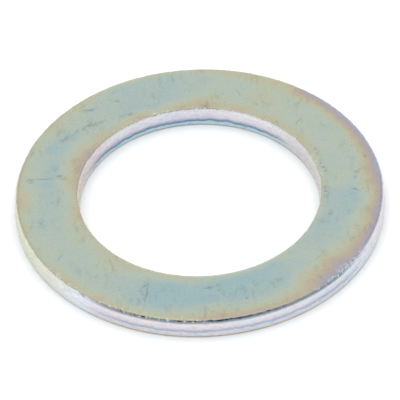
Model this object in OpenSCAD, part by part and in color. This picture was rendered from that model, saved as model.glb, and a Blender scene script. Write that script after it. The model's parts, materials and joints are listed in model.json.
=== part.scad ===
// Flat ring washer, blanked and pierced from steel plate in one stroke.
// The punch and the die leave the same kind of edge on the rim and on the bore, from the bottom up:
// a rolled-over corner, a smooth sheared band, a ledge, a torn zone that leans back, and a lip.
// The origin is the centre of the underside and +Z is the axis of the bore.

/* [Washer] */
// Outside diameter, measured over the sheared band
outer_d = 34; // [30:0.5:44]
// Bore diameter, measured over the sheared band
bore_d = 22.1; // [16:0.1:25]
// Thickness of the plate
thickness = 2; // [1.8:0.1:4]

/* [Rim edge] */
// Height of the smooth sheared band on the rim
rim_band = 0.4; // [0.2:0.05:0.5]
// Depth of the rim's ledge between the sheared band and the torn zone
rim_ledge = 0.06; // [0.02:0.01:0.2]
// Radius of the lip on the rim's upper edge
rim_lip = 0.3; // [0.05:0.01:0.35]

/* [Bore edge] */
// Height of the smooth sheared band in the bore
bore_band = 0.25; // [0.1:0.05:0.5]
// Depth of the bore's ledge between the sheared band and the torn zone
bore_ledge = 0.1; // [0.02:0.01:0.2]
// Radius of the lip on the bore's upper edge
bore_lip = 0.08; // [0.05:0.01:0.35]

/* [Both edges] */
// Radius of the corner that the die rolls over at the underside
die_roll = 0.25; // [0.1:0.05:0.45]
// Height over which each ledge slopes
ledge_height = 0.2; // [0.1:0.01:0.2]
// How far each torn zone leans back by the time it reaches the upper face
tear_lean = 0.03; // [0:0.01:0.1]

/* [Hidden] */
$fn = 180;

// One edge of the washer is [radius of the sheared band, side it faces, height of that band,
// depth of the ledge, radius of the lip]. The rim faces away from the axis and the bore faces it.
RADIUS = 0;
FACING = 1;
BAND = 2;
LEDGE = 3;
LIP = 4;
rim = [outer_d / 2, 1, rim_band, rim_ledge, rim_lip];
bore = [bore_d / 2, -1, bore_band, bore_ledge, bore_lip];

// Radius of a point that lies the given depth behind an edge's sheared band
function behind(edge, depth) = edge[RADIUS] - edge[FACING] * depth;

// Height at which the torn zone starts
function tear_start(edge) = die_roll + edge[BAND] + ledge_height;

// Angle at which the torn zone leans back from upright
function tear_angle(edge) = atan(tear_lean / (thickness - tear_start(edge)));

// Depth of the lip's centre behind the sheared band
function lip_depth(edge) =
    edge[LEDGE]
    + (thickness - edge[LIP] - tear_start(edge)) * tan(tear_angle(edge))
    + edge[LIP] / cos(tear_angle(edge));

// The outline of one edge, from the underside up, with its two round corners left as chords
function edge_points(edge) = [
    [behind(edge, die_roll), 0],
    [behind(edge, 0), die_roll],
    [behind(edge, 0), die_roll + edge[BAND]],
    [behind(edge, edge[LEDGE]), tear_start(edge)],
    [
        behind(edge, lip_depth(edge) - edge[LIP] * cos(tear_angle(edge))),
        thickness - edge[LIP] + edge[LIP] * sin(tear_angle(edge))
    ],
    [behind(edge, lip_depth(edge)), thickness]
];

function reversed(points) = [for (i = [len(points) - 1 : -1 : 0]) points[i]];

// The circles that fill the two round corners of one edge out to true arcs
module corner_rounds(edge) {
    translate([behind(edge, die_roll), die_roll]) circle(r = die_roll);
    translate([behind(edge, lip_depth(edge)), thickness - edge[LIP]]) circle(r = edge[LIP]);
}

// The cut face of the washer on one side of the axis
module section() {
    polygon(concat(edge_points(rim), reversed(edge_points(bore))));
    corner_rounds(rim);
    corner_rounds(bore);
}

// The whole object: a single piece of zinc-plated steel
module washer() {
    color("#b4bcb1") rotate_extrude() section();
}

washer();
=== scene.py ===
"""Builds a zinc-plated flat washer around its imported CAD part, on a plain studio floor.

Lengths are in metres unless a name ends in _mm, and angles are in radians unless a name ends in _deg.
Angles round the washer are counted from +X towards +Y.
"""

import json
import math

import bmesh
import bpy
from mathutils import Matrix, Vector, noise


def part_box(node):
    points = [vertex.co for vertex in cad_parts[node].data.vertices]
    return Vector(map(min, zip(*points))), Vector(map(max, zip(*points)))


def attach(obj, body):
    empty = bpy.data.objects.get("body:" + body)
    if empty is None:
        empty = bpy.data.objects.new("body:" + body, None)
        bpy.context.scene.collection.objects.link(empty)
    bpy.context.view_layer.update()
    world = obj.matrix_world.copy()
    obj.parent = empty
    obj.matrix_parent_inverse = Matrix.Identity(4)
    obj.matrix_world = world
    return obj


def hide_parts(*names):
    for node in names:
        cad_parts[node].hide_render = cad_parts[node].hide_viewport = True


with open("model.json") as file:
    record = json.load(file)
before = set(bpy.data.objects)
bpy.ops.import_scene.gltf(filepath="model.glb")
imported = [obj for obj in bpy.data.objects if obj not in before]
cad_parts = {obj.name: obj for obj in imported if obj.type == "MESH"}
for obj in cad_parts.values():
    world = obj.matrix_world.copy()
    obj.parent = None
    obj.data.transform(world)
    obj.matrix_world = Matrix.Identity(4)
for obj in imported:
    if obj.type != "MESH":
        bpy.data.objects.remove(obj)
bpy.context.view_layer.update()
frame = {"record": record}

bl_info = {
    "name": "Plated Flat Washer",
    "version": (1, 0, 0),
    "blender": (4, 5, 0),
    "location": "View3D > Sidebar > Washer",
    "description": "Builds a stamped and zinc-plated flat washer and a plain studio to show it in",
    "category": "Object",
}

MM = 0.001
CAD_NODE = "washer"
PIECE = "plated_washer"

LOW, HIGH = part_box(CAD_NODE)
BORE = next(mount for mount in frame["record"]["mounts"] if mount["name"] == "bore")
RIM_RADIUS = HIGH.x
THICKNESS = HIGH.z - LOW.z
BORE_RADIUS = BORE["dims"]["r_mm"] * MM
BORE_BAND = BORE["dims"]["length_mm"] * MM
DIE_ROLL = BORE["pos_m"][2] - BORE_BAND / 2
MIDDLE_RADIUS = (RIM_RADIUS + BORE_RADIUS) / 2

# The mesh: 12 sectors of 72 steps round the ring, and the longest faces along its section
SECTORS = 12
SECTOR_STEPS = 72
WALL_STEP = 0.075 * MM
CORNER_STEP = 0.055 * MM
UPPER_FACE_STEP = 0.3 * MM
UNDERSIDE_STEP = 0.6 * MM
# Points closer than the first are one point, and sides that rise by less than the second are level
MERGE_DISTANCE = 0.002 * MM
LEVEL_TOLERANCE = 0.01 * MM

# Roundings of the section's small corners: the top of a sheared band, and the foot of a torn zone
BAND_ROUNDING = 0.04 * MM
TEAR_ROUNDING = 0.05 * MM

# Name of the attribute that counts the zones of an edge up from the underside: 0 to 1 rolled corner,
# to 2 sheared band, to 3 ledge, to 4 torn zone, to 5 lip, to 6 the strip of face beside the lip, and 6 on
# the rest of the face. ZONES counts those of the edge itself, which the walls' tables run over.
ZONE = "edge_zone"
ZONES = 5
BESIDE_LIP = 0.5 * MM
FACE_TOLERANCE = 0.001 * MM

# Noise that roughens the mesh, as the size of each of its octaves
CHIP_SIZES = (0.34 * MM, 0.17 * MM)
TEAR_SIZES = (0.42 * MM, 0.2 * MM)
BAND_LINE_SIZES = (0.4 * MM, 0.25 * MM)
LEDGE_SIZES = (0.8 * MM, 0.4 * MM)
LEDGE_SWELL_SIZE = 3.1 * MM
FACE_WAVE_SIZE = 4.3 * MM
FACE_PIT_SIZES = (1.3 * MM, 0.6 * MM)

# Height of a ledge's slow swell against its quick one, and how far a chip cuts inwards against downwards
LEDGE_SWELL = 0.7
CHIP_INWARDS = 0.6
# Noise levels between which a chip deepens from nothing to full
CHIP_LEVELS = (-0.1, 0.6)

# Where the roughness of each zone fades: from the lip onto the face, up and down from a ledge, up from the
# foot of a torn zone, down from a lip, and up from the underside, which stays flat
WALL_FADE = 0.35 * MM
LEDGE_REACH = 0.45 * MM
TEAR_FADE = 0.15 * MM
LIP_FADE = 0.3 * MM
LIP_FULL_SHARE = 0.3
UNDERSIDE_FADE = (0.05 * MM, 0.3 * MM)
UPPER_FACE_DEPTH = 0.02 * MM

# How ragged a lip is at the least, and the stretches where each is most ragged, as (middle, reach each way)
# in degrees
LEAST_RAGGED = 0.06
RAGGED_STRETCHES = {
    "rim": ((258, 26), (224, 12), (322, 14)),
    "bore": ((112, 34), (10, 24)),
}

# Dents, as (angle in degrees, then radius, height, size and depth in mm)
DENTS = (
    (320.2, 16.95, 1.95, 0.6, 0.12),
    (317.2, 16.75, 2.0, 0.35, 0.08),
    (323.5, 16.95, 1.7, 0.5, 0.11),
    (326.0, 16.9, 1.95, 0.4, 0.09),
    (327.5, 17.0, 0.9, 0.35, 0.07),
    (331.0, 17.0, 1.4, 0.4, 0.08),
    (221.5, 16.95, 1.6, 0.55, 0.1),
    (224.6, 16.95, 1.2, 0.45, 0.09),
    (227.6, 16.95, 1.7, 0.55, 0.11),
    (231.0, 16.9, 1.95, 0.4, 0.09),
    (252.0, 16.95, 1.5, 0.35, 0.07),
    (352.0, 16.8, 2.0, 0.4, 0.03),
    (131.0, 15.0, 2.0, 0.7, 0.01),
)

# The passivate film's thickness from 0 to 1, by degrees round the ring: in the middle of the face, at the
# rim and at the bore, and the shares of the rim's radius from which it thickens towards the two edges
FILM_ROUND_RING = {
    "middle": (
        (0, 0.32), (20, 0.36), (40, 0.34), (60, 0.42), (75, 0.34), (90, 0.28), (110, 0.16), (130, 0.24),
        (150, 0.18), (165, 0.14), (195, 0.2), (210, 0.32), (225, 0.28), (240, 0.22), (255, 0.02),
        (285, 0.04), (300, 0.1), (315, 0.25), (330, 0.18), (345, 0.12), (360, 0.32),
    ),
    "rim": (
        (0, 0.88), (20, 1.0), (40, 0.97), (52, 0.78), (64, 0.6), (90, 0.54), (110, 0.48), (130, 0.54),
        (165, 0.52), (180, 0.62), (195, 0.54), (225, 0.56), (240, 0.63), (255, 0.6), (270, 0.7), (285, 0.8),
        (300, 0.76), (315, 0.92), (330, 0.88), (345, 0.87), (360, 0.88),
    ),
    "bore": (
        (0, 0.5), (20, 0.5), (40, 0.56), (60, 0.62), (90, 0.7), (110, 0.66), (130, 0.7), (150, 0.72),
        (165, 0.79), (180, 0.68), (195, 0.6), (210, 0.54), (240, 0.58), (255, 0.58), (270, 0.52),
        (300, 0.42), (330, 0.36), (345, 0.46), (360, 0.5),
    ),
    "rim start": (
        (0, 0.84), (20, 0.875), (40, 0.9), (60, 0.88), (75, 0.88), (90, 0.92), (110, 0.94), (130, 0.88),
        (150, 0.86), (180, 0.84), (195, 0.86), (210, 0.9), (225, 0.92), (240, 0.9), (255, 0.88),
        (270, 0.83), (285, 0.865), (300, 0.82), (315, 0.79), (330, 0.8), (345, 0.825), (360, 0.84),
    ),
    "bore start": (
        (0, 0.72), (60, 0.74), (90, 0.77), (110, 0.75), (130, 0.76), (150, 0.82), (165, 0.8), (180, 0.78),
        (240, 0.8), (255, 0.76), (270, 0.74), (300, 0.7), (345, 0.71), (360, 0.72),
    ),
}
# Shares of the rim's radius at which the film has the thickness of each edge
RIM_FILM_END = 0.985
BORE_FILM_END = 0.655
# Film thicknesses at which the film shows each of its colours in turn
FILM_STEPS = (0.0, 0.18, 0.38, 0.55, 0.68, 0.83, 0.95)
# How far the film's bands wander, and the size of the noise that they follow
FILM_WANDER = 0.45 * MM
FILM_WANDER_SIZE = 3.5 * MM
# Patches of thicker and thinner film, as (size in mm, strength)
FILM_PATCHES = ((2.6, 0.1), (0.9, 0.055), (0.35, 0.02))
# How much thicker the film is on the round of a lip, and the zones between which that comes on
LIP_FILM = 0.22
LIP_FILM_ZONES = (4.85, 4.3)

# Colours of the walls by degrees round the ring
WALL_TINTS = {
    "rim": (
        (0, "#e8dee2"), (60, "#e6e2e6"), (120, "#e4e7ea"), (180, "#e2ddca"), (205, "#e1e3cd"),
        (216, "#e6e4da"), (228, "#e6ecf2"), (240, "#e8e2e4"), (300, "#e6e4e9"), (325, "#dee4ea"),
        (345, "#e9e0e5"), (360, "#e8dee2"),
    ),
    "bore": (
        (0, "#ded8cf"), (35, "#e0dddb"), (55, "#eae8ea"), (100, "#e0e0e6"), (130, "#e2e3e8"),
        (150, "#e4dadc"), (175, "#dcd4c8"), (240, "#e5e2e5"), (300, "#e0e3e5"), (360, "#ded8cf"),
    ),
}
# Colours that multiply those of the walls, by zone, and how strong they are by degrees round the ring.
# Besides the film's cyan and blue tints they paint light and shade: a darker blue line along each ledge,
# partly film tint and partly painted shade; a teal-grey line along the rim's lip, a painted reflection of the
# tent's dark opening that deepens the real one; and a painted warm reflection on the rim's rolled corner.
WALL_BANDS_AND_PAINTED_SHADE = {
    "rim": (
        (0, "#ffead0"), (0.8, "#fffdf6"), (1.9, "#f2f8fa"), (2.2, "#bcd0e2"), (2.9, "#c2d0e0"),
        (3.2, "#f8f4f8"), (3.75, "#ffffff"), (4.05, "#a2b2b6"), (4.4, "#86969c"), (4.8, "#a2b0b2"),
    ),
    "bore": (
        (0, "#fffff8"), (0.8, "#f2fffc"), (1.9, "#c0f4f8"), (2.15, "#84a6b8"), (2.6, "#9ca6be"),
        (2.95, "#bcc4da"), (3.2, "#f8f4fa"), (3.8, "#ffffff"), (4.1, "#e0e8ea"), (4.8, "#dce2e2"),
    ),
}
BAND_STRENGTH = {
    "rim": (
        (0, 0.2), (90, 1), (180, 0.1), (205, 0.1), (232, 0.35), (247, 1), (312, 1), (326, 0.35), (345, 0.1),
        (360, 0.2),
    ),
    "bore": ((0, 0.1), (35, 0.2), (60, 1), (135, 1), (160, 0.2), (180, 0.1), (270, 1), (360, 0.1)),
}
# How much the lips are darkened with the marks' colour: the zones between which that comes on, and by
# degrees round the ring
LIP_DARKENING_ZONES = (5.15, 4.8)
LIP_DARKENING = (
    (0, 0.3), (20, 0.2), (60, 0.1), (120, 0.15), (150, 0.35), (175, 0.35), (200, 0.2), (230, 0.1),
    (300, 0.1), (330, 0.2), (345, 0.3), (360, 0.3),
)
# How much bright zinc shows in specks along each lip, by degrees round the ring, and the zones between which
# the specks come on and go off
BARE_SPECKS = {
    "rim": (
        (0, 0), (210, 0), (222, 0.8), (235, 0.5), (255, 0.8), (265, 0.8), (280, 0), (305, 0.2), (318, 1),
        (328, 0.8), (336, 0), (360, 0),
    ),
    "bore": ((0, 0), (20, 0.6), (60, 0.6), (85, 0.9), (125, 0.9), (150, 0), (360, 0)),
}
SPECKS_ON_ZONES = (4.25, 4.5)
SPECKS_OFF_ZONES = (5.03, 4.9)
# Zones between which the colours of a wall give way to those of the face
FACE_ZONES = (4.5, 4.9)

# Colours of the walls' fine streaks by level of their noise, and how many times wider than high they are
STREAKS = (
    (0.3, "#dfecf4"), (0.4, "#eef0f6"), (0.47, "#fdf2f6"), (0.54, "#fffaf2"), (0.62, "#f0fbf9"),
    (0.72, "#e6f2fa"),
)
STREAK_WIDENING = 3

# By zone: how rough the plating is, and how much of the relief of torn metal it has
ZONE_ROUGHNESS = (
    (0, 0.5), (0.7, 0.4), (1.2, 0.26), (1.9, 0.22), (2.3, 0.26), (3.2, 0.34), (4, 0.28), (4.5, 0.2),
    (5, 0.3),
)
TORN_SHARE = ((0, 0.05), (1.9, 0.05), (2.2, 0.5), (3.2, 1), (4, 0.9), (4.7, 0.7), (5, 0))

# Sizes of the noise that bends and breaks the scratches, that gathers the wear, and that streaks the walls
BEND_SIZE = 1.1 * MM
BREAK_SIZE = 0.5 * MM
HANDLED_SIZE = 2.4 * MM
STREAK_SIZE = 0.6 * MM
# Sizes of the pits, rolling lines, bare specks, torn grain and grit. Real ones are typically 0.01 to 0.1 mm
# across, and these are drawn as coarse as they need to be to show.
PIT_SIZE = 0.4 * MM
ROLLED_SIZE = 0.4 * MM
SPECK_SIZE = 0.24 * MM
TORN_SIZE = 0.2 * MM
GRIT_SIZE = 0.16 * MM

# How far the marks' outlines bend, and the width of the rolling lines as a share of their length along Y
BEND = 0.12 * MM
ROLLED_WIDTH = 0.3
# Noise levels between which each kind of mark comes on, and the strength of the weaker kinds
BREAK_LEVELS = (0.3, 0.45)
PIT_LEVELS = (0.42, 0.6)
HANDLED_LEVELS = (0.46, 0.72)
GRAIN_LEVELS = (0.6, 0.72)
ROLLED_LEVELS = (0.5, 0.75)
SPECK_LEVELS = (0.53, 0.64)
GRAIN_STRENGTH = 0.7
ROLLED_STRENGTH = 0.45

# What grit, marks and bare specks add to the roughness
GRIT_ROUGHNESS = 0.07
MARK_ROUGHNESS = 0.15
SPECK_ROUGHNESS = 0.6
# Heights of the relief of grit, marks and torn metal
GRIT_HEIGHT_MM = 0.0015
MARK_HEIGHT_MM = -0.003
TORN_HEIGHT_MM = 0.035

# The colour that a mark multiplies the film's by, and that of zinc without film
MARK_COLOUR = "#7a8682"
BARE_ZINC = "#fbfbf8"

# Marks of the face, as (x and y in mm, turn in degrees, length and width in mm, strength): scratches, and
# smears of small pits. The share of a mark's size within which it has its full strength comes first.
SCRATCH_CORE = 0.3
SMEAR_CORE = 0.0
SCRATCHES = (
    (-14.4, 2.2, 2, 3.4, 0.16, 0.4),
    (-5.0, -13.2, 82, 4.4, 0.2, 0.4),
    (14.3, -0.6, -24, 1.3, 0.14, 0.7),
    (14.0, -1.2, 15, 0.7, 0.12, 0.5),
    (14.6, 1.8, 50, 1.3, 0.14, 0.6),
    (-10.1, 9.4, 50, 2.0, 0.14, 0.5),
    (-11.4, 8.4, 55, 1.6, 0.14, 0.5),
    (-10.6, 12.0, 40, 1.4, 0.14, 0.5),
    (0.7, -12.8, 15, 1.3, 0.14, 0.5),
    (9.5, 9.0, 60, 1.8, 0.14, 0.35),
    (4.0, 13.2, -60, 1.5, 0.14, 0.35),
    (10.4, -9.4, 40, 1.6, 0.14, 0.35),
    (-12.8, -8.2, 70, 1.9, 0.14, 0.3),
)
SMEARS = (
    (-15.6, 2.0, 30, 1.2, 0.8, 0.5),
    (-12.6, 2.3, -20, 1.4, 0.8, 0.7),
    (-12.4, 7.6, 40, 2.0, 1.0, 0.6),
    (-9.8, 9.3, 30, 3.2, 0.8, 0.7),
    (-6.4, 10.6, 20, 2.4, 0.7, 0.5),
    (-10.2, 11.4, 10, 1.8, 0.8, 0.6),
    (-7.6, 12.6, -15, 2.2, 0.6, 0.4),
    (11.6, -0.8, 86, 3.6, 0.9, 0.6),
    (14.5, 1.4, 70, 1.8, 0.6, 0.5),
    (11.5, 2.5, 103, 3.4, 0.7, 0.5),
    (11.0, 4.6, 113, 2.2, 0.6, 0.45),
    (-5.2, -12.4, 70, 2.6, 1.0, 0.5),
    (0.9, -12.7, 20, 2.8, 0.7, 0.5),
    (2.6, -13.8, 10, 1.6, 0.6, 0.4),
    (6.6, -12.2, 30, 2.2, 0.8, 0.4),
    (-14.6, -3.6, 80, 1.8, 0.8, 0.4),
    (13.4, 5.6, 60, 1.6, 0.7, 0.45),
    (9.2, 11.2, 30, 2.0, 0.6, 0.35),
)

# The light tent: its levels by the sine of the height above the horizon, and its tint as linear RGB
TENT_LEVELS = ((0.0, 1.3), (0.25, 1.05), (0.5, 0.8), (0.7, 0.72), (0.85, 0.8), (1.0, 1.1))
TENT_TINT = (0.96, 1.0, 1.04)
# The tent's dark opening: its bearing from -Y towards +X, its height above the horizon, how far from its
# middle it is fully dark, and how far it reaches
OPENING_BEARING_DEG = 13
OPENING_RISE_DEG = 45
OPENING_INNER_DEG = 19
OPENING_OUTER_DEG = 33
OPENING_COLOUR = "#445c60"
# The overhead light, the floor and the camera
OVERHEAD_COLOUR = "#fff8ee"
OVERHEAD_WIDTH_DEG = 68
FLOOR_GAP = 0.005 * MM
FLOOR_SIDES = 128
SENSOR_WIDTH_MM = 36
CLIP_START = 0.01


def linear(hex_colour):
    """The linear RGB of an sRGB hex colour such as "#b4bcb1"."""
    channels = [int(hex_colour[i : i + 2], 16) / 255 for i in (1, 3, 5)]
    return [c / 12.92 if c <= 0.04045 else ((c + 0.055) / 1.055) ** 2.4 for c in channels]


def length_prop(name, description, default_mm):
    """A length in metres that the sidebar shows in the scene's units."""
    return bpy.props.FloatProperty(
        name=name,
        description=description,
        default=default_mm * MM,
        precision=5,
        subtype="DISTANCE",
        unit="LENGTH",
    )


def angle_prop(name, description, default_deg):
    """An angle that the sidebar shows in degrees."""
    return bpy.props.FloatProperty(
        name=name,
        description=description,
        default=math.radians(default_deg),
        subtype="ANGLE",
        unit="ROTATION",
    )


def colour_prop(name, description, hex_colour):
    """A colour whose default is given as sRGB hex."""
    return bpy.props.FloatVectorProperty(
        name=name,
        description=description,
        default=linear(hex_colour),
        size=3,
        min=0,
        max=1,
        subtype="COLOR",
    )


# ---------------------------------------------------------------------------------------------
# Settings


class WasherEdgeSettings(bpy.types.PropertyGroup):
    """Sizes of the stamped edges. The two radii, the thickness and the bore's band come from the CAD part."""

    rim_band: length_prop("Rim band", "Height of the smooth sheared band on the rim", 0.40)
    rim_ledge: length_prop("Rim ledge", "Depth of the ledge above the rim's sheared band", 0.06)
    rim_lip: length_prop("Rim lip", "Radius of the lip on the rim's upper edge", 0.30)
    bore_ledge: length_prop("Bore ledge", "Depth of the ledge above the bore's sheared band", 0.10)
    bore_lip: length_prop("Bore lip", "Radius of the lip on the bore's upper edge", 0.08)
    ledge_height: length_prop("Ledge height", "Height over which each ledge slopes", 0.20)
    tear_lean: length_prop("Tear lean", "How far each torn zone leans back at its top", 0.03)


class WasherWearSettings(bpy.types.PropertyGroup):
    """How rough the press and the plating barrel left the ring."""

    ledge_wander: length_prop("Ledge wander", "How far each ledge rises and falls round the edge", 0.12)
    tear_grain: length_prop("Tear grain", "Height of the grain of the torn zones", 0.032)
    band_lines: length_prop("Band lines", "Depth of the tools' upright lines on the bands", 0.003)
    lip_chips: length_prop("Lip chips", "Depth of the ragged chips along the lips", 0.1)
    face_wave: length_prop("Face wave", "Height of the slow waves of the upper face", 0.012)
    face_pitting: length_prop("Face pitting", "Depth of the small dents of the upper face", 0.004)


class WasherFilmSettings(bpy.types.PropertyGroup):
    """Colours of the passivate film, in the order in which a thickening film shows them."""

    film_0: colour_prop("Thinnest", "Teal-blue of the thinnest film", "#b6d0cf")
    film_1: colour_prop("Thin", "Grey-green of thin film", "#c6d4cb")
    film_2: colour_prop("Pale green", "Pale green of the next film", "#d0d8c3")
    film_3: colour_prop("Khaki", "Khaki-yellow film", "#d8d2b2")
    film_4: colour_prop("Tan", "Tan film", "#d6c6ab")
    film_5: colour_prop("Mauve", "Mauve film", "#c8bac0")
    film_6: colour_prop("Steel blue", "Steel-blue of the thickest film", "#bec6cf")


class StageSettings(bpy.types.PropertyGroup):
    """The camera, the floor and the light."""

    distance: length_prop("Distance", "Distance of the camera from the point that it looks at", 345.7)
    elevation: angle_prop("Elevation", "Height of the camera above the horizon", 43.48)
    roll: angle_prop("Roll", "Turn of the camera about its line of sight", -1.99)
    lens: bpy.props.FloatProperty(
        name="Lens",
        description="Focal length",
        default=338.0,
        subtype="DISTANCE_CAMERA",
    )
    look_at: bpy.props.FloatVectorProperty(
        name="Look at",
        description="Point that the camera looks at",
        default=(0.00003, 0.00004, 0.0007),
        subtype="XYZ",
    )
    floor_radius: length_prop("Floor radius", "Radius of the round floor", 3000)
    floor_colour: colour_prop("Floor", "Colour of the floor", "#f1f4f7")
    overhead: bpy.props.FloatProperty(
        name="Overhead light",
        description="Strength of the light overhead",
        default=1.75,
    )


# ---------------------------------------------------------------------------------------------
# The ring's shape


def smooth(low, high, value):
    """0 below low, 1 above high, and a smooth S between them."""
    t = min(max((value - low) / (high - low), 0.0), 1.0)
    return t * t * (3 - 2 * t)


def hat(centre, reach, value):
    """1 at centre, falling smoothly to 0 at reach on each side."""
    return 1 - smooth(0, reach, abs(value - centre))


class Edge:
    """One of the ring's two stamped edges: the rim faces outwards, and the bore faces the axis."""

    def __init__(self, name, radius, facing, band, ledge, lip, sizes):
        self.ragged_stretches = RAGGED_STRETCHES[name]
        self.radius = radius
        self.facing = facing
        self.band = band
        self.ledge = ledge
        self.lip = lip
        self.ledge_low = DIE_ROLL + band
        self.tear_start = self.ledge_low + sizes.ledge_height
        self.top_depth = ledge + sizes.tear_lean

    def behind(self, depth):
        """Radius of a point that lies depth behind the sheared band."""
        return self.radius - self.facing * depth

    def corners(self):
        """The section's corners from the underside up, as (radius, height, rounding)."""
        return [
            (self.behind(0), 0, DIE_ROLL),
            (self.behind(0), self.ledge_low, BAND_ROUNDING),
            (self.behind(self.ledge), self.tear_start, TEAR_ROUNDING),
            (self.behind(self.top_depth), THICKNESS, self.lip),
        ]


def washer_edges(sizes):
    """The rim and the bore, with the sizes that the CAD part doesn't give taken from the settings."""
    rim = Edge("rim", RIM_RADIUS, 1, sizes.rim_band, sizes.rim_ledge, sizes.rim_lip, sizes)
    bore = Edge("bore", BORE_RADIUS, -1, BORE_BAND, sizes.bore_ledge, sizes.bore_lip, sizes)
    return rim, bore


def section_wire(bm, rim, bore):
    """Draws the ring's section in the XZ plane as a wire, rounds its corners and divides its long sides."""
    corners = rim.corners() + bore.corners()[::-1]
    verts = [bm.verts.new((radius, 0, height)) for radius, height, _ in corners]
    for a, b in zip(verts, verts[1:] + verts[:1]):
        bm.edges.new((a, b))
    for vert, (_, _, rounding) in zip(verts, corners):
        bmesh.ops.bevel(
            bm,
            geom=[vert],
            offset=rounding,
            offset_type="OFFSET",
            segments=max(2, round(rounding / CORNER_STEP)),
            profile=0.5,
            affect="VERTICES",
            material=-1,
        )
    for edge in list(bm.edges):
        a, b = edge.verts
        if abs(a.co.z - b.co.z) > LEVEL_TOLERANCE:
            longest = WALL_STEP
        else:
            longest = UPPER_FACE_STEP if a.co.z > THICKNESS / 2 else UNDERSIDE_STEP
        cuts = math.ceil(edge.calc_length() / longest) - 1
        if cuts > 0:
            bmesh.ops.subdivide_edges(bm, edges=[edge], cuts=cuts)


def ring_mesh(rim, bore):
    """Spins the section through one sector, repeats the sector round the axis and joins the sectors up."""
    bm = bmesh.new()
    section_wire(bm, rim, bore)
    turn = {"cent": (0, 0, 0), "axis": (0, 0, 1)}
    sector = math.tau / SECTORS
    bmesh.ops.spin(bm, geom=bm.verts[:] + bm.edges[:], angle=sector, steps=SECTOR_STEPS, **turn)
    whole = bm.verts[:] + bm.edges[:] + bm.faces[:]
    bmesh.ops.spin(bm, geom=whole, angle=math.tau - sector, steps=SECTORS - 1, use_duplicate=True, **turn)
    bmesh.ops.remove_doubles(bm, verts=bm.verts, dist=MERGE_DISTANCE)
    bmesh.ops.recalc_face_normals(bm, faces=bm.faces)
    return bm


def grain(point, *sizes):
    """Smooth noise between about -1 and 1 at a point: an octave of each size, each half as strong."""
    return sum(noise.noise(point / size) / 2**octave for octave, size in enumerate(sizes))


def raggedness(edge, angle_deg):
    """How ragged a lip is at an angle: 1 in the middle of a ragged stretch, and hardly at all elsewhere."""
    nearness = [
        hat(0, reach, (angle_deg - middle + 180) % 360 - 180) for middle, reach in edge.ragged_stretches
    ]
    return LEAST_RAGGED + (1 - LEAST_RAGGED) * max(nearness)


def edge_move(point, edge, wear):
    """How far a point near a stamped edge moves out from the wall, and how far it moves up."""
    angle = math.atan2(point.y, point.x)
    foot = Vector((math.cos(angle), math.sin(angle), 0)) * edge.radius
    depth = (edge.radius - point.xy.length) * edge.facing
    on_wall = 1 - smooth(edge.top_depth + edge.lip, edge.top_depth + edge.lip + WALL_FADE, depth)
    on_ledge = hat((edge.ledge_low + edge.tear_start) / 2, LEDGE_REACH, point.z)
    on_tear = smooth(edge.tear_start, edge.tear_start + TEAR_FADE, point.z)
    on_band = hat(DIE_ROLL + edge.band / 2, edge.band, point.z)
    on_lip = smooth(THICKNESS - edge.lip - LIP_FADE, THICKNESS - LIP_FULL_SHARE * edge.lip, point.z)
    chip = smooth(*CHIP_LEVELS, grain(foot, *CHIP_SIZES)) * raggedness(edge, math.degrees(angle))
    swell = grain(foot, *LEDGE_SIZES) + LEDGE_SWELL * grain(foot, LEDGE_SWELL_SIZE)
    out = wear.tear_grain * grain(point, *TEAR_SIZES) * on_tear
    out += wear.band_lines * grain(foot, *BAND_LINE_SIZES) * on_band
    out -= CHIP_INWARDS * wear.lip_chips * chip * on_lip
    up = wear.ledge_wander * swell * on_ledge
    up -= wear.lip_chips * chip * on_lip
    return out * on_wall, up * on_wall


def roughen(bm, rim, bore, wear):
    """Moves the points of the smooth ring to those of a stamped and barrel-plated one."""
    dents = [(ring_point(*where), size * MM, depth * MM) for *where, size, depth in DENTS]
    for vert in bm.verts:
        point = vert.co.copy()
        lift = smooth(*UNDERSIDE_FADE, point.z)
        if lift == 0:
            continue
        edge = rim if point.xy.length > MIDDLE_RADIUS else bore
        out, up = edge_move(point, edge, wear)
        if point.z > THICKNESS - UPPER_FACE_DEPTH:
            up += wear.face_wave * grain(point, FACE_WAVE_SIZE)
            up += wear.face_pitting * grain(point, *FACE_PIT_SIZES)
        radial = Vector((point.x, point.y, 0)).normalized() * edge.facing
        move = radial * out + Vector((0, 0, up))
        for centre, size, depth in dents:
            reach = (point - centre).length / size
            if reach < 1:
                move -= (radial + Vector((0, 0, 1))) * depth * (1 - reach**2) ** 2
        vert.co = point + move * lift


def ring_point(angle_deg, radius_mm, height_mm):
    """The point at an angle round the axis, a radius from it and a height above the underside."""
    angle = math.radians(angle_deg)
    return Vector((radius_mm * math.cos(angle), radius_mm * math.sin(angle), height_mm)) * MM


def mark_zones(bm, rim, bore):
    """Stores on each point which zone of its edge it lies in, counted up from the underside."""
    zone = bm.verts.layers.float.new(ZONE)
    for vert in bm.verts:
        edge = rim if vert.co.xy.length > MIDDLE_RADIUS else bore
        heights = (0, DIE_ROLL, edge.ledge_low, edge.tear_start, THICKNESS - edge.lip, THICKNESS)
        vert[zone] = sum(
            min(max((vert.co.z - low) / (high - low), 0), 1) for low, high in zip(heights, heights[1:])
        )
        beside = (edge.radius - vert.co.xy.length) * edge.facing - edge.top_depth - edge.lip
        if vert.co.z > THICKNESS - FACE_TOLERANCE:
            vert[zone] += min(max(beside / BESIDE_LIP, 0), 1)


def build_ring(sizes, wear, film):
    """Makes the ring's mesh, roughens it and plates it."""
    rim, bore = washer_edges(sizes)
    bm = ring_mesh(rim, bore)
    mark_zones(bm, rim, bore)
    roughen(bm, rim, bore, wear)
    for face in bm.faces:
        face.smooth = True
    mesh = bpy.data.meshes.new(PIECE)
    bm.to_mesh(mesh)
    bm.free()
    mesh.materials.append(zinc_plate(film))
    ring = bpy.data.objects.new(PIECE, mesh)
    bpy.context.scene.collection.objects.link(ring)
    return ring


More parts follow.
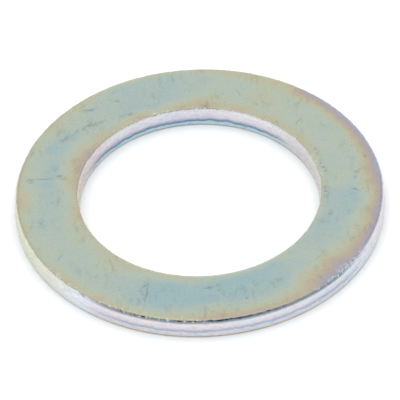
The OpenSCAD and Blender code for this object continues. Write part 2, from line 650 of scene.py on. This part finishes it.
# ---------------------------------------------------------------------------------------------
# The plating


def in_use(node):
    """The output that a node has in use: a Mix or Vector Math node hides its others."""
    return next(output for output in node.outputs if output.enabled)


def add_node(tree, kind, inputs=None, stops=(), points=(), **settings):
    """Adds a node, sets its properties, sets or links its inputs, and fills its colour ramp or curve.

    Inputs go by name, or by number where a name isn't unique: 1, 2 and 4 of a Map Range are From Min, From
    Max and To Max, and of a Mix 0 is the factor, 2 and 3 are its two numbers and 6 and 7 its two colours.
    A node that is given as an input is linked by the output that it has in use.
    """
    node = tree.nodes.new(kind)
    for name, value in settings.items():
        setattr(node, name, value)
    for key, value in (inputs or {}).items():
        if isinstance(value, bpy.types.Node):
            value = in_use(value)
        if isinstance(value, bpy.types.NodeSocket):
            tree.links.new(value, node.inputs[key])
        else:
            node.inputs[key].default_value = value
    for index, (position, colour) in enumerate(stops):
        elements = node.color_ramp.elements
        stop = elements[index] if index < 2 else elements.new(position)
        stop.position = position
        stop.color = (*colour, 1)
    if points:
        curve = node.mapping.curves[0]
        curve.points[0].location = points[0]
        curve.points[1].location = points[-1]
        for x, y in points[1:-1]:
            curve.points.new(x, y)
        node.mapping.update()
    return node


def round_ring(pairs):
    """Turns pairs that start with degrees into pairs that start with a share of a full turn."""
    return [(degrees / 360, value) for degrees, value in pairs]


def by_zone(pairs):
    """Turns pairs of zone and grey value into a colour ramp's stops, which run from 0 to 1 over an edge."""
    return [(zone / ZONES, (value,) * 3) for zone, value in pairs]


def ring_place(tree, place):
    """Where a point lies: its angle as a share of a full turn, and its radius as a share of the rim's.

    A slow noise pushes the place about by a fraction of a millimetre, so that the film's bands wander.
    """
    push = add_node(
        tree, "ShaderNodeTexNoise", {"Vector": place, "Scale": 1 / FILM_WANDER_SIZE}, normalize=False
    )
    far = (FILM_WANDER, FILM_WANDER, 0)
    pushed = add_node(
        tree, "ShaderNodeVectorMath", {0: push.outputs["Color"], 1: far, 2: place}, operation="MULTIPLY_ADD"
    )
    parts = add_node(tree, "ShaderNodeSeparateXYZ", {0: pushed})
    angle = add_node(
        tree, "ShaderNodeMath", {0: parts.outputs["Y"], 1: parts.outputs["X"]}, operation="ARCTAN2"
    )
    turn = add_node(tree, "ShaderNodeMath", {0: angle, 1: math.tau}, operation="DIVIDE")
    turn = add_node(tree, "ShaderNodeMath", {0: turn}, operation="FRACT")
    flat = add_node(tree, "ShaderNodeVectorMath", {0: pushed, 1: (1, 1, 0)}, operation="MULTIPLY")
    radius = add_node(tree, "ShaderNodeVectorMath", {0: flat}, operation="LENGTH")
    share = add_node(tree, "ShaderNodeMath", {0: radius, 1: RIM_RADIUS}, operation="DIVIDE")
    return turn, share


def film_colour(tree, film, place, zone, turn, share):
    """The interference colours of the face, from a film that thickens towards both edges and in patches."""
    middle, rim, bore, rim_start, bore_start = (
        add_node(tree, "ShaderNodeFloatCurve", {"Value": turn}, points=round_ring(points))
        for points in FILM_ROUND_RING.values()
    )
    near_rim = add_node(tree, "ShaderNodeMapRange", {"Value": share, 1: rim_start, 2: RIM_FILM_END})
    near_bore = add_node(tree, "ShaderNodeMapRange", {"Value": share, 1: bore_start, 2: BORE_FILM_END})
    thickness = add_node(tree, "ShaderNodeMix", {0: near_rim, 2: middle, 3: rim}, data_type="FLOAT")
    thickness = add_node(tree, "ShaderNodeMix", {0: near_bore, 2: thickness, 3: bore}, data_type="FLOAT")
    for size_mm, strength in FILM_PATCHES:
        patch = add_node(
            tree, "ShaderNodeTexNoise", {"Vector": place, "Scale": 1 / (size_mm * MM)}, normalize=False
        )
        thickness = add_node(
            tree, "ShaderNodeMath", {0: patch, 1: strength, 2: thickness}, operation="MULTIPLY_ADD"
        )
    on, full = LIP_FILM_ZONES
    at_lip = add_node(tree, "ShaderNodeMapRange", {"Value": zone, 1: on, 2: full, 4: LIP_FILM})
    thickness = add_node(tree, "ShaderNodeMath", {0: thickness, 1: at_lip}, operation="ADD", use_clamp=True)
    colours = [getattr(film, f"film_{index}") for index in range(len(FILM_STEPS))]
    return add_node(tree, "ShaderNodeValToRGB", {0: thickness}, stops=list(zip(FILM_STEPS, colours)))


def wall_colour(tree, place, turn, on_rim, height):
    """The whiter colours of the walls: a tint by angle, a tint by zone that also paints shade on the ledges
    and dark and warm reflections on the rim, and fine pink and blue streaks.
    """
    sides = {}
    for name in ("rim", "bore"):
        stops = [(where, linear(colour)) for where, colour in round_ring(WALL_TINTS[name])]
        tint = add_node(tree, "ShaderNodeValToRGB", {0: turn}, stops=stops)
        # The tints by zone paint shade along the ledges, and dark and warm reflections on the rim's lip and
        # foot
        stops = [(zone / ZONES, linear(colour)) for zone, colour in WALL_BANDS_AND_PAINTED_SHADE[name]]
        bands = add_node(tree, "ShaderNodeValToRGB", {0: height}, stops=stops)
        points = round_ring(BAND_STRENGTH[name])
        strength = add_node(tree, "ShaderNodeFloatCurve", {"Value": turn}, points=points)
        sides[name] = add_node(
            tree, "ShaderNodeMix", {0: strength, 6: tint, 7: bands}, data_type="RGBA", blend_type="MULTIPLY"
        )
    wall = add_node(tree, "ShaderNodeMix", {0: on_rim, 6: sides["bore"], 7: sides["rim"]}, data_type="RGBA")
    laid = add_node(tree, "ShaderNodeMapping", {"Vector": place, "Scale": (1, 1, STREAK_WIDENING)})
    streak = add_node(tree, "ShaderNodeTexNoise", {"Vector": laid, "Scale": 1 / STREAK_SIZE, "Detail": 3.0})
    stops = [(position, linear(colour)) for position, colour in STREAKS]
    streaks = add_node(tree, "ShaderNodeValToRGB", {0: streak}, stops=stops)
    both = {0: 1.0, 6: wall, 7: streaks}
    return add_node(tree, "ShaderNodeMix", both, data_type="RGBA", blend_type="MULTIPLY")


def laid_marks(tree, place, marks, core):
    """The strength of each mark of a table within a core share of its size, falling to 0 at its outline."""
    together = 0.0
    for x, y, turn_deg, long, wide, strength in marks:
        laid = add_node(
            tree,
            "ShaderNodeMapping",
            {
                "Vector": place,
                "Location": (x * MM, y * MM, THICKNESS),
                "Rotation": (0, 0, math.radians(turn_deg)),
                "Scale": (long * MM / 2, wide * MM / 2, MM),
            },
            vector_type="TEXTURE",
        )
        away = add_node(tree, "ShaderNodeVectorMath", {0: laid}, operation="LENGTH")
        mark = add_node(tree, "ShaderNodeMapRange", {"Value": away, 1: 1.0, 2: core, 4: strength})
        together = add_node(tree, "ShaderNodeMath", {0: together, 1: mark}, operation="MAXIMUM")
    return together


def face_marks(tree, place, zone, turn, on_face):
    """How marked the face is, from 0 to 1: scratches, pits, grains, rolling lines, and lips darkened by
    angle.
    """
    wander = add_node(
        tree, "ShaderNodeTexNoise", {"Vector": place, "Scale": 1 / BEND_SIZE}, normalize=False
    )
    bent = add_node(
        tree,
        "ShaderNodeVectorMath",
        {0: wander.outputs["Color"], 1: (BEND, BEND, 0), 2: place},
        operation="MULTIPLY_ADD",
    )
    broken = add_node(tree, "ShaderNodeTexNoise", {"Vector": place, "Scale": 1 / BREAK_SIZE})
    on, full = BREAK_LEVELS
    broken = add_node(tree, "ShaderNodeMapRange", {"Value": broken, 1: on, 2: full})
    scratches = laid_marks(tree, bent, SCRATCHES, SCRATCH_CORE)
    scratches = add_node(tree, "ShaderNodeMath", {0: scratches, 1: broken}, operation="MULTIPLY")

    pits = add_node(
        tree,
        "ShaderNodeTexNoise",
        {"Vector": place, "Scale": 1 / PIT_SIZE, "Detail": 3.0, "Roughness": 0.6},
    )
    on, full = PIT_LEVELS
    pit = add_node(tree, "ShaderNodeMapRange", {"Value": pits, 1: on, 2: full})
    smears = laid_marks(tree, bent, SMEARS, SMEAR_CORE)
    smears = add_node(tree, "ShaderNodeMath", {0: smears, 1: pit}, operation="MULTIPLY")

    handled = add_node(
        tree, "ShaderNodeTexNoise", {"Vector": place, "Scale": 1 / HANDLED_SIZE, "Detail": 4.0}
    )
    on, full = HANDLED_LEVELS
    handled = add_node(tree, "ShaderNodeMapRange", {"Value": handled, 1: on, 2: full})
    on, full = GRAIN_LEVELS
    grains = add_node(tree, "ShaderNodeMapRange", {"Value": pits, 1: on, 2: full, 4: GRAIN_STRENGTH})
    grains = add_node(tree, "ShaderNodeMath", {0: grains, 1: handled}, operation="MULTIPLY")
    rolled = add_node(tree, "ShaderNodeMapping", {"Vector": bent, "Scale": (1, ROLLED_WIDTH, 1)})
    rolled = add_node(
        tree, "ShaderNodeTexNoise", {"Vector": rolled, "Scale": 1 / ROLLED_SIZE, "Detail": 3.0}
    )
    on, full = ROLLED_LEVELS
    rolled = add_node(tree, "ShaderNodeMapRange", {"Value": rolled, 1: on, 2: full, 4: ROLLED_STRENGTH})
    rolled = add_node(tree, "ShaderNodeMath", {0: rolled, 1: handled}, operation="MULTIPLY")

    marks = scratches
    for more in (smears, grains, rolled):
        marks = add_node(tree, "ShaderNodeMath", {0: marks, 1: more}, operation="MAXIMUM")
    marks = add_node(tree, "ShaderNodeMath", {0: marks, 1: on_face}, operation="MULTIPLY")
    # The lips, darkened by angle with the marks' colour
    on, full = LIP_DARKENING_ZONES
    lip = add_node(tree, "ShaderNodeMapRange", {"Value": zone, 1: on, 2: full})
    darkened_lip = add_node(tree, "ShaderNodeFloatCurve", {"Value": turn}, points=round_ring(LIP_DARKENING))
    darkened_lip = add_node(tree, "ShaderNodeMath", {0: darkened_lip, 1: lip}, operation="MULTIPLY")
    darkened_lip = add_node(tree, "ShaderNodeMath", {0: darkened_lip, 1: on_face}, operation="MULTIPLY")
    return add_node(tree, "ShaderNodeMath", {0: marks, 1: darkened_lip}, operation="MAXIMUM", use_clamp=True)


def bare_specks(tree, place, zone, turn, on_rim):
    """1 in small specks along the lips, where the film is broken through and the zinc is bright."""
    rim, bore = (
        add_node(tree, "ShaderNodeFloatCurve", {"Value": turn}, points=round_ring(points))
        for points in BARE_SPECKS.values()
    )
    amount = add_node(tree, "ShaderNodeMix", {0: on_rim, 2: bore, 3: rim}, data_type="FLOAT")
    speck = add_node(tree, "ShaderNodeTexNoise", {"Vector": place, "Scale": 1 / SPECK_SIZE, "Detail": 3.0})
    on, full = SPECK_LEVELS
    speck = add_node(tree, "ShaderNodeMapRange", {"Value": speck, 1: on, 2: full})
    on, full = SPECKS_ON_ZONES
    rising = add_node(tree, "ShaderNodeMapRange", {"Value": zone, 1: on, 2: full})
    off, full = SPECKS_OFF_ZONES
    falling = add_node(tree, "ShaderNodeMapRange", {"Value": zone, 1: off, 2: full})
    for part in (rising, falling, amount):
        speck = add_node(tree, "ShaderNodeMath", {0: speck, 1: part}, operation="MULTIPLY")
    return speck


def zinc_plate(film):
    """Bright zinc, electroplated in a barrel and dipped in a thin blue passivate.

    The film is a few tenths of a micrometre thick, so it shows interference colours: teal and pale green
    over most of the face, and khaki, tan, mauve and steel-blue where it thickens towards the edges. The walls
    are whiter, with fine pink and blue streaks, and the sheared bands are smoother than the torn zones. Their
    tints by zone also hold painted light: a darker blue line along each ledge, partly film tint and partly
    painted shade, a teal-grey line along the rim's lip that is a painted reflection of the tent's dark
    opening, and a painted warm reflection on the rim's rolled corner. Grit, pits and torn grain are drawn
    coarser than real ones, at 0.16 to 0.4 mm, so that they show.
    """
    material = bpy.data.materials.new("zinc_plate_blue_passivate")
    material.use_nodes = True
    tree = material.node_tree
    shader = tree.nodes["Principled BSDF"]
    shader.inputs["Metallic"].default_value = 1.0

    place = add_node(tree, "ShaderNodeTexCoord").outputs["Object"]
    zone = add_node(tree, "ShaderNodeAttribute", attribute_name=ZONE).outputs["Fac"]
    height = add_node(tree, "ShaderNodeMath", {0: zone, 1: ZONES}, operation="DIVIDE")
    on, full = FACE_ZONES
    on_face = add_node(tree, "ShaderNodeMapRange", {"Value": zone, 1: on, 2: full})
    turn, share = ring_place(tree, place)
    middle = MIDDLE_RADIUS / RIM_RADIUS
    on_rim = add_node(tree, "ShaderNodeMath", {0: share, 1: middle}, operation="GREATER_THAN")
    marks = face_marks(tree, place, zone, turn, on_face)

    face = film_colour(tree, film, place, zone, turn, share)
    wall = wall_colour(tree, place, turn, on_rim, height)
    plain = add_node(tree, "ShaderNodeMix", {0: on_face, 6: wall, 7: face}, data_type="RGBA")
    worn = {0: marks, 6: plain, 7: (*linear(MARK_COLOUR), 1)}
    colour = add_node(tree, "ShaderNodeMix", worn, data_type="RGBA", blend_type="MULTIPLY")
    specks = bare_specks(tree, place, zone, turn, on_rim)
    bare = {0: specks, 6: colour, 7: (*linear(BARE_ZINC), 1)}
    colour = add_node(tree, "ShaderNodeMix", bare, data_type="RGBA")
    tree.links.new(in_use(colour), shader.inputs["Base Color"])

    fine = {"Vector": place, "Scale": 1 / GRIT_SIZE, "Detail": 3.0}
    grit = add_node(tree, "ShaderNodeTexNoise", fine, normalize=False)
    rough = add_node(tree, "ShaderNodeValToRGB", {0: height}, stops=by_zone(ZONE_ROUGHNESS))
    for part, more in ((grit, GRIT_ROUGHNESS), (marks, MARK_ROUGHNESS), (specks, SPECK_ROUGHNESS)):
        rough = add_node(tree, "ShaderNodeMath", {0: part, 1: more, 2: rough}, operation="MULTIPLY_ADD")
    tree.links.new(in_use(rough), shader.inputs["Roughness"])

    # The relief that is finer than the mesh: a height in mm
    coarse = add_node(tree, "ShaderNodeTexNoise", {"Vector": place, "Scale": 1 / TORN_SIZE})
    torn = add_node(tree, "ShaderNodeValToRGB", {0: height}, stops=by_zone(TORN_SHARE))
    torn = add_node(tree, "ShaderNodeMath", {0: coarse, 1: torn}, operation="MULTIPLY")
    relief = add_node(tree, "ShaderNodeMath", {0: grit, 1: GRIT_HEIGHT_MM}, operation="MULTIPLY")
    for part, more in ((marks, MARK_HEIGHT_MM), (torn, TORN_HEIGHT_MM)):
        relief = add_node(tree, "ShaderNodeMath", {0: part, 1: more, 2: relief}, operation="MULTIPLY_ADD")
    bump = add_node(tree, "ShaderNodeBump", {"Height": relief, "Strength": 1.0, "Distance": MM})
    tree.links.new(in_use(bump), shader.inputs["Normal"])
    return material


# ---------------------------------------------------------------------------------------------
# Operators


class WASHER_OT_build_ring(bpy.types.Operator):
    """Build the plated washer and hide the CAD part that it stands for"""

    bl_idname = "washer.build_ring"
    bl_label = "Build the Washer"

    def execute(self, context):
        scene = context.scene
        ring = build_ring(scene.washer_edges, scene.washer_wear, scene.washer_film)
        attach(ring, "root")
        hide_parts(CAD_NODE)
        return {"FINISHED"}


class WASHER_OT_build_stage(bpy.types.Operator):
    """Build the floor, the light and the camera"""

    bl_idname = "washer.build_stage"
    bl_label = "Build the Studio"

    def execute(self, context):
        stage = context.scene.washer_stage
        build_floor(stage)
        build_world(stage)
        build_overhead_light(stage)
        build_camera(stage)
        context.scene.view_settings.view_transform = "Standard"
        return {"FINISHED"}


def build_floor(stage):
    """A round matt floor, a hair's breadth under the washer."""
    bm = bmesh.new()
    bmesh.ops.create_circle(bm, cap_ends=True, segments=FLOOR_SIDES, radius=stage.floor_radius)
    bmesh.ops.translate(bm, verts=bm.verts, vec=(0, 0, LOW.z - FLOOR_GAP))
    mesh = bpy.data.meshes.new("floor")
    bm.to_mesh(mesh)
    bm.free()
    floor = bpy.data.objects.new("floor", mesh)
    bpy.context.scene.collection.objects.link(floor)
    material = bpy.data.materials.new("matte_white_card")
    material.use_nodes = True
    shader = material.node_tree.nodes["Principled BSDF"]
    shader.inputs["Base Color"].default_value = (*stage.floor_colour, 1)
    shader.inputs["Roughness"].default_value = 1.0
    shader.inputs["Specular IOR Level"].default_value = 0.0
    mesh.materials.append(material)


def build_world(stage):
    """A plain light tent: white at its foot, greyer higher up, with a dark opening on the camera's side."""
    world = bpy.data.worlds.new("light_tent")
    bpy.context.scene.world = world
    world.use_nodes = True
    tree = world.node_tree
    way = add_node(tree, "ShaderNodeTexCoord").outputs["Generated"]
    height = add_node(tree, "ShaderNodeSeparateXYZ", {0: way}).outputs["Z"]
    stops = [(sine, [level * tint for tint in TENT_TINT]) for sine, level in TENT_LEVELS]
    cloth = add_node(tree, "ShaderNodeValToRGB", {0: height}, stops=stops)
    bearing = math.radians(OPENING_BEARING_DEG)
    rise = math.radians(OPENING_RISE_DEG)
    level = Vector((math.sin(bearing), -math.cos(bearing), 0))
    opening = level * math.cos(rise) + Vector((0, 0, math.sin(rise)))
    towards = add_node(tree, "ShaderNodeVectorMath", {0: way, 1: opening}, operation="DOT_PRODUCT")
    outer = math.cos(math.radians(OPENING_OUTER_DEG))
    inner = math.cos(math.radians(OPENING_INNER_DEG))
    shade = add_node(
        tree, "ShaderNodeMapRange", {"Value": towards, 1: outer, 2: inner}, interpolation_type="SMOOTHSTEP"
    )
    light = add_node(
        tree, "ShaderNodeMix", {0: shade, 6: cloth, 7: (*linear(OPENING_COLOUR), 1)}, data_type="RGBA"
    )
    tree.links.new(in_use(light), tree.nodes["Background"].inputs["Color"])


def build_overhead_light(stage):
    """A broad soft light overhead, for the floor: the plating mirrors the tent and not this light."""
    data = bpy.data.lights.new("overhead_light", "SUN")
    data.energy = stage.overhead
    data.angle = math.radians(OVERHEAD_WIDTH_DEG)
    data.color = linear(OVERHEAD_COLOUR)
    light = bpy.data.objects.new("overhead_light", data)
    bpy.context.scene.collection.objects.link(light)
    light.visible_glossy = False


def build_camera(stage):
    """A camera that looks at the washer from -Y, at the distance, height and roll of the settings."""
    data = bpy.data.cameras.new("camera")
    data.lens = stage.lens
    data.sensor_width = SENSOR_WIDTH_MM
    data.clip_start = CLIP_START
    camera = bpy.data.objects.new("camera", data)
    bpy.context.scene.collection.objects.link(camera)
    target = Vector(stage.look_at)
    back = Vector((0, -math.cos(stage.elevation), math.sin(stage.elevation)))
    turn = back.to_track_quat("Z", "Y").to_matrix().to_4x4() @ Matrix.Rotation(stage.roll, 4, "Z")
    camera.matrix_world = Matrix.Translation(target + back * stage.distance) @ turn
    bpy.context.scene.camera = camera


class WASHER_PT_panel(bpy.types.Panel):
    """Lists the settings and the steps that build the washer"""

    bl_idname = "WASHER_PT_panel"
    bl_label = "Plated Washer"
    bl_space_type = "VIEW_3D"
    bl_region_type = "UI"
    bl_category = "Washer"

    def draw(self, context):
        layout = self.layout
        for title, settings in (
            ("Edges", context.scene.washer_edges),
            ("Wear", context.scene.washer_wear),
            ("Film", context.scene.washer_film),
            ("Studio", context.scene.washer_stage),
        ):
            box = layout.box()
            box.label(text=title)
            for name in settings.__annotations__:
                box.prop(settings, name)
        for operator in OPERATORS:
            layout.operator(operator.bl_idname)


SETTINGS = {
    "washer_edges": WasherEdgeSettings,
    "washer_wear": WasherWearSettings,
    "washer_film": WasherFilmSettings,
    "washer_stage": StageSettings,
}
OPERATORS = (WASHER_OT_build_ring, WASHER_OT_build_stage)
CLASSES = (*SETTINGS.values(), *OPERATORS, WASHER_PT_panel)


def register():
    for cls in CLASSES:
        bpy.utils.register_class(cls)
    for name, cls in SETTINGS.items():
        setattr(bpy.types.Scene, name, bpy.props.PointerProperty(type=cls))


def unregister():
    for name in SETTINGS:
        delattr(bpy.types.Scene, name)
    for cls in reversed(CLASSES):
        bpy.utils.unregister_class(cls)


def main():
    register()
    bpy.ops.washer.build_ring()
    bpy.ops.washer.build_stage()


if __name__ == "__main__":
    main()
